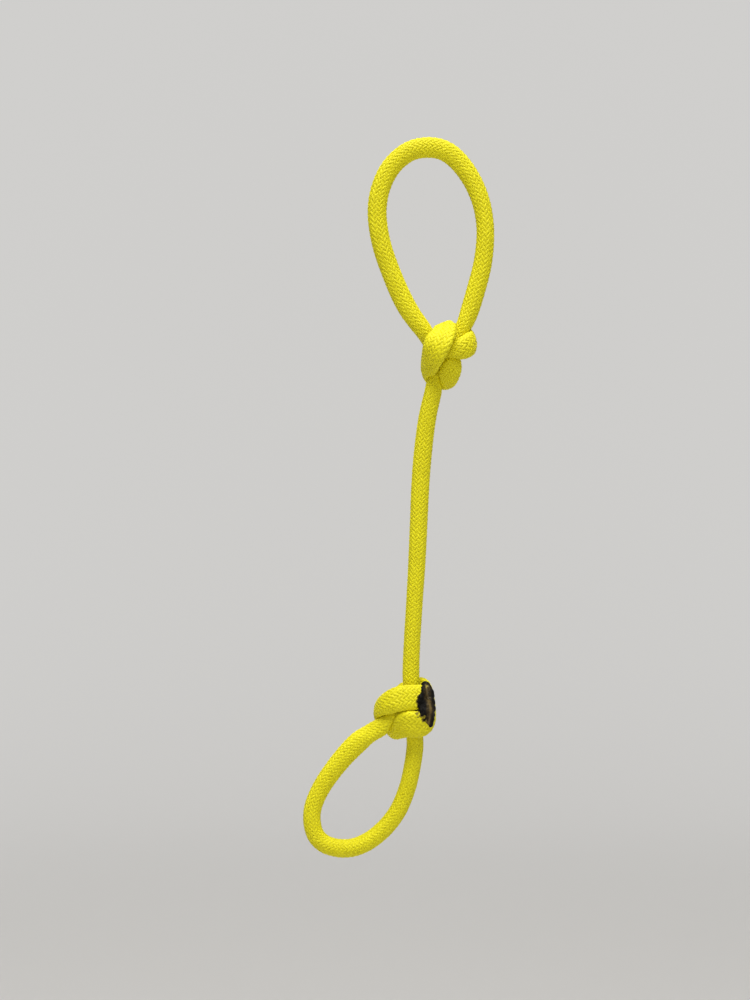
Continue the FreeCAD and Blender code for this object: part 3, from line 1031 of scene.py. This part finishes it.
@dataclass
class Cord:
    """The whole cord: its braided sheath and its core yarns, in runs that each bend at one place."""

    route: Route = field(default_factory=Route)
    diameter: float = 0.0040
    into_standing: float = 0.0030
    path_step: int = 4
    runs: tuple[Run, ...] = (
        Run("upper_turn", Bend.UPPER_NECK, ("upper_knot_turn", "upper_neck")),
        Run("upper_crown", Bend.UPPER_NECK, ("upper_eye",)),
        Run("shank_top", Bend.SHANK_TOP, ("upper_knot_standing", "shank_top")),
        Run("shank_middle", Bend.SHANK_MIDDLE, ("shank_upper", "shank_middle")),
        Run("shank_foot", Bend.SHANK_FOOT, ("shank_lower", "shank_foot", "lower_knot_standing")),
        Run("lower_foot", Bend.LOWER_NECK, ("lower_eye",)),
        Run("lower_turn", Bend.LOWER_NECK, ("lower_neck", "lower_knot_turn")))

    def __post_init__(self) -> None:
        """Work out the line, the sheath's surface and what is made on it."""
        self.line = CordLine(self.route)
        self.surface = SheathSurface(self.line, self.diameter)
        self.braid = Braid(self.surface)
        self.yarns = Yarns(self.surface)

    def cuts(self) -> list[int]:
        """Find the stations where the runs meet: the crown, the shank in thirds, and the foot.

        Returns:
            The stations, with the cord's first and last.
        """
        line = self.line
        into = int(self.into_standing / line.step)
        first = line.ends["upper_standing"][0] + into
        last = line.ends["lower_standing"][1] - into
        thirds = [first + round(share * (last - first) / 3) for share in range(4)]
        return [0, self.extreme("upper_eye", 1), *thirds, self.extreme("lower_eye", -1), len(line.points) - 1]

    def extreme(self, name: str, sign: int) -> int:
        """Give the highest (sign 1) or lowest (sign -1) station of a stretch."""
        first, last = self.line.ends[name]
        return first + int(np.argmax(sign * self.line.points[first:last, 2]))

    def build(self, melted: "MeltedEnd") -> None:
        """Args:
            melted: The melted end, which chars the strands beside it.
        """
        sheath, core = BraidFinish().material(), YarnFinish().material()
        cuts = self.cuts()
        for run, first, last in zip(self.runs, cuts, cuts[1:]):
            part = Part("braid_" + run.name)
            self.braid.add_strands(part, first, last)
            self.braid.add_lining(part, first, last)
            part.attributes["scorch"] = [melted.nearness(np.concatenate(part.vertices))]
            braid = part.finish(sheath)
            part = Part("yarns_" + run.name)
            self.yarns.add_yarns(part, first, last)
            yarns = part.finish(core)
            for piece, slot, kind in ((braid, Slot.SHEATH, "_sheath"), (yarns, Slot.CORE, "_core")):
                run.bend.value.blend(piece)
                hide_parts(*[name + kind for name in run.stands_for])
            self.declare(first, last)

    def declare(self, first: int, last: int) -> None:
        """Take every few stations of a run as its path, which nothing then uses.

        Args:
            first: Its first station.
            last: Its last station.
        """
        line = self.line
        path = line.points[first:last + 1:self.path_step].tolist()


@dataclass(frozen=True)
class Melt:
    """How balls of melt run together into one closed, lumpy mesh.

    Its roughness is how far the surface wanders, over waves of the two scales.
    """

    voxel: float
    roughness: float
    ball_detail: int = 3
    flow: float = 0.5
    flow_steps: int = 12
    scales: tuple[float, float] = (900.0, 2300.0)

    def run_together(self, name: str, balls: list[tuple[Vector, float]]) -> bpy.types.Object:
        """Make the mesh.

        Args:
            name: The object's name.
            balls: Each ball's middle and radius.

        Returns:
            The object.
        """
        whole = bmesh.new()
        for middle, radius in balls:
            found = bmesh.ops.create_icosphere(whole, subdivisions=self.ball_detail, radius=radius)
            bmesh.ops.translate(whole, verts=found["verts"], vec=middle)
        mesh = bpy.data.meshes.new(name)
        whole.to_mesh(mesh)
        whole.free()
        made = link(name, mesh)
        remesh = made.modifiers.new("melt", "REMESH")
        remesh.mode = "VOXEL"
        remesh.voxel_size = self.voxel
        smooth = made.modifiers.new("flow", "SMOOTH")
        smooth.factor = self.flow
        smooth.iterations = self.flow_steps
        depsgraph = bpy.context.evaluated_depsgraph_get()
        melted = bpy.data.meshes.new_from_object(made.evaluated_get(depsgraph))
        made.modifiers.clear()
        made.data = melted
        coarse, fine = self.scales
        for vertex in melted.vertices:
            lump = noise.noise(vertex.co * coarse) + 0.5 * noise.noise(vertex.co * fine)
            vertex.co += vertex.normal * (self.roughness * lump)
        melted.polygons.foreach_set("use_smooth", [True] * len(melted.polygons))
        melted.materials.append(MeltedFinish().material())
        LOG.info("%s: %d faces", name, len(melted.polygons))
        return made


@dataclass
class MeltedEnd:
    """The burnt end of the cord: lumps of melt along a path, run together, over the strands behind.

    Each lump has its place seen from the front, its radius and how far its middle stands in front
    of the strands. The streak is where the melt is thin, and each fleck is a scorched spot with its
    radius. These tables are in millimetres, and so are the sizes of the scorched rim.
    """

    lumps: tuple[Place, ...] = (
        (-2.65, -122.50, 1.25, -0.80), (-2.60, -123.60, 1.45, -0.95), (-2.70, -124.70, 1.70, -1.15),
        (-2.80, -125.80, 1.85, -1.30), (-2.75, -126.90, 1.85, -1.30), (-2.60, -127.90, 1.70, -1.15),
        (-2.35, -128.90, 1.55, -1.05), (-2.10, -129.80, 1.35, -0.90), (-1.95, -130.60, 1.00, -0.70),
        (-1.75, -124.50, 1.20, -0.80), (-1.65, -125.90, 1.20, -0.85), (-1.60, -127.30, 1.20, -0.85),
        (-1.65, -128.60, 1.10, -0.80), (-2.00, -122.90, 0.90, -0.45), (-1.70, -123.70, 1.00, -0.50),
        (-2.95, -122.20, 0.60, -0.10), (-3.10, -123.00, 0.60, -0.08), (-3.40, -123.80, 0.65, -0.08),
        (-3.95, -124.60, 0.75, -0.08), (-4.20, -125.50, 0.75, -0.08), (-4.10, -126.50, 0.70, -0.08),
        (-3.80, -127.40, 0.65, -0.08), (-3.65, -128.40, 0.65, -0.15), (-3.25, -129.50, 0.60, -0.15))
    streak: tuple[tuple[float, float], ...] = (
        (-2.45, -122.30), (-2.35, -123.60), (-2.30, -124.60), (-1.85, -126.20), (-1.75, -127.80),
        (-1.90, -129.30), (-2.20, -130.60))
    streak_width: float = 1.30
    # The bright dot marks a painted glint: a pale spot painted on the melt where light shines off it.
    bright_dot: tuple[float, float] = (-2.45, -122.3)
    bright_width: float = 0.62
    flecks: tuple[Point, ...] = (
        (-4.85, -128.10, 0.70), (-4.45, -127.60, 0.50), (-4.55, -128.90, 0.50), (-4.75, -124.20, 0.35))
    sunk: float = 0.25
    least_shown: float = 0.1
    rim: float = 0.28
    rim_blur: float = 0.22
    fleck_level: float = 1.15
    streak_level: float = 1.05
    bright_level: float = 1.2
    front_depth: float = -1.0
    look_reach: float = 0.00035
    look_growth: float = 1.6
    lid_ahead: float = 0.00030
    lid_every: int = 4
    lid_place: float = 0.45
    lid_largest: float = 0.0010
    lid_out: float = 1.02
    melt: Melt = Melt(0.00013, 0.00012)

    def front(self, surface: SheathSurface, x: float, z: float, reach: float) -> float:
        """Find the cord's frontmost place behind a point of view.

        Args:
            surface: The sheath's surface.
            x: How far to the right.
            z: How high.
            reach: How far round it to look.

        Returns:
            The depth.
        """
        grid = surface.grid.reshape(-1, 3)
        near = (np.abs(grid[:, 0] - x) < reach) & (np.abs(grid[:, 2] - z) < reach)
        if not near.any():
            return self.front(surface, x, z, reach * self.look_growth)
        return float(grid[near, 1].min())

    def nearness(self, places: np.ndarray) -> np.ndarray:
        """Say how scorched the strands are.

        Args:
            places: The strands' points, in metres.

        Returns:
            For each, 1 in a scorched place, falling to 0 round it.
        """
        right, depth, up = places.T * MM_PER_METRE
        best = np.zeros(len(places))
        for x, z, radius in self.flecks:
            apart = np.hypot(right - x, up - z)
            best = np.maximum(best, np.clip(self.fleck_level - apart / radius, 0, 1))
        for x, z, radius, proud in self.lumps:
            shown = math.sqrt(max(radius ** 2 - (self.sunk - proud) ** 2, self.least_shown))
            apart = np.hypot(right - x, up - z)
            best = np.maximum(best, np.clip((shown + self.rim - apart) / self.rim_blur, 0, 1))
        return best * (depth < self.front_depth)

    def build(self, surface: SheathSurface) -> None:
        """Make the melted end.

        Args:
            surface: The sheath's surface, which it lies on.
        """
        balls = []
        for lump in self.lumps:
            x, z, radius, proud = [value / MM_PER_METRE for value in lump]
            depth = self.front(surface, x, z, self.look_reach) + self.sunk / MM_PER_METRE - proud
            balls.append((Vector((x, depth, z)), radius))
        balls += self.lid(surface)
        piece = self.melt.run_together("melted_end_lower", balls)
        self.colour(piece)
        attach(piece, "lower_knot")
        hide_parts("lower_end_seal", "lower_melted_smear")

    def lid(self, surface: SheathSurface) -> list[tuple[Vector, float]]:
        """Lay balls of melt over the whole of the cord's cut end.

        Args:
            surface: The sheath's surface.

        Returns:
            Each ball's middle and radius.
        """
        end = surface.line.points[-1]
        LOG.info("the cord's burnt end is at %s", [round(value * MM_PER_METRE, 2) for value in end])
        middle = end + self.lid_ahead * surface.line.directions[-1]
        balls = []
        for place in surface.grid[-1, ::self.lid_every]:
            spoke = place - end
            length = float(np.linalg.norm(spoke))
            radius = min(self.lid_place * length, self.lid_largest)
            for reach in (self.lid_place, self.lid_out - radius / length):
                balls.append((Vector(middle + reach * spoke), radius))
        return balls

    def colour(self, piece: bpy.types.Object) -> None:
        """Mark where the melt is thin and where a painted glint is laid on it.

        Args:
            piece: The melted end.
        """
        places = np.array([vertex.co for vertex in piece.data.vertices])[:, [0, 2]] * MM_PER_METRE
        line = np.array(self.streak)
        apart = np.full(len(places), np.inf)
        for first, last in zip(line[:-1], line[1:]):
            run = last - first
            share = np.clip((places - first) @ run / (run @ run), 0, 1)
            apart = np.minimum(apart, np.linalg.norm(places - first - share[:, None] * run, axis=1))
        dot = np.linalg.norm(places - np.array(self.bright_dot), axis=1)
        mark(piece.data, "thin", np.clip(self.streak_level - apart / self.streak_width, 0, 1))
        mark(piece.data, "bright", np.clip(self.bright_level - dot / self.bright_width, 0, 1))


@dataclass
class SealedEnd:
    """The heat-sealed end of the cord that the front band of the upper knot hides."""

    radius: float = 0.00135
    rim_radius: float = 0.0005
    rim_share: float = 0.6
    rim_every: int = 8
    stations: tuple[int, ...] = (0, 3, 6)
    thin: float = 0.75
    melt: Melt = Melt(0.00016, 0.00008)

    def build(self, surface: SheathSurface) -> None:
        """Make the seal.

        Args:
            surface: The sheath's surface.
        """
        points = surface.line.points
        balls = [(Vector(points[station]), self.radius) for station in self.stations]
        balls += [(Vector(place * self.rim_share + points[1] * (1 - self.rim_share)), self.rim_radius)
                  for place in surface.grid[1, ::self.rim_every]]
        piece = self.melt.run_together("sealed_end_upper", balls)
        mark(piece.data, "thin", np.full(len(piece.data.vertices), self.thin))
        mark(piece.data, "bright", np.zeros(len(piece.data.vertices)))
        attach(piece, "upper_knot")
        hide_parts("upper_end_seal")


@dataclass
class Studio:
    """The camera, the pale floor and backdrop, and the lamps."""

    eye: Point = (-0.01433, -0.3666, -0.07953)
    lens: float = 57.1
    sensor: float = 36.0
    sight: tuple[float, float] = (0.005, 20.0)
    floor_height: float = -0.26
    wall_place: float = 0.75
    sweep: float = 0.30
    sweep_steps: int = 12
    half_size: float = 3.0
    cord_middle: Point = (-0.010, 0.0, -0.083)
    room_colour: Colour = srgb(240, 233, 222)
    room_strength: float = 0.26

    def camera(self) -> None:
        """Make the camera, level and square to the cord."""
        data = bpy.data.cameras.new("camera")
        data.sensor_width = self.sensor
        data.lens = self.lens
        data.clip_start, data.clip_end = self.sight
        made = link("camera", data)
        made.location = self.eye
        made.rotation_euler = (math.radians(90), 0.0, 0.0)
        bpy.context.scene.camera = made

    def backdrop(self) -> None:
        """Make the floor, which sweeps up into the backdrop."""
        start = self.wall_place - self.sweep
        outline = [(-self.half_size, 0.0)]
        for step in range(self.sweep_steps + 1):
            turn = math.radians(90 * step / self.sweep_steps)
            outline.append((start + self.sweep * math.sin(turn), self.sweep * (1 - math.cos(turn))))
        outline.append((self.wall_place, self.half_size))
        rows = [[(x, y, self.floor_height + z) for x in (-self.half_size, self.half_size)]
                for y, z in outline]
        part = Part("floor_and_backdrop")
        part.add_strip(np.array(rows), False)
        part.finish(PlainFinish().material())

    def lamp(self, name: str, place: Point, size: float, power: float) -> None:
        """Make a soft lamp that points at the cord.

        Args:
            name: Its name.
            place: Its place.
            size: Its side.
            power: Its power in watts.
        """
        data = bpy.data.lights.new(name, "AREA")
        data.size = size
        data.energy = power
        made = link(name, data)
        made.location = place
        made.rotation_mode = "QUATERNION"
        made.rotation_quaternion = (Vector(self.cord_middle) - Vector(place)).to_track_quat("-Z", "Y")

    def light(self) -> None:
        """Light the scene softly from above, with a weak fill from all round."""
        world = bpy.data.worlds.new("room")
        graph = Graph("room", world)
        light = graph.add("ShaderNodeBackground", {},
                          {"Color": (*self.room_colour, 1.0), "Strength": self.room_strength})
        tone = graph.add("ShaderNodeBackground", {}, {"Color": (*PlainFinish().far_tone, 1.0)})
        mixed = graph.add("ShaderNodeMixShader", {}, {0: seen_directly(graph), 1: light, 2: tone})
        graph.add("ShaderNodeOutputWorld", {}, {"Surface": mixed})
        bpy.context.scene.world = world
        self.lamp("above", place=(-0.06, -0.28, 0.82), size=0.7, power=10.6)
        self.lamp("front", place=(0.35, -1.10, 0.10), size=0.9, power=2.0)


def main() -> None:
    """Build the cord and its surroundings."""
    logging.basicConfig(level=logging.INFO, format="%(message)s")
    scene = bpy.context.scene
    scene.view_settings.view_transform = "Standard"
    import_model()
    studio = Studio()
    studio.camera()
    cord = Cord()
    melted = MeltedEnd()
    cord.build(melted)
    melted.build(cord.surface)
    SealedEnd().build(cord.surface)
    studio.backdrop()
    studio.light()
    LOG.info("the cord is %.1f mm long", cord.line.length * MM_PER_METRE)


if __name__ == "__main__":
    main()
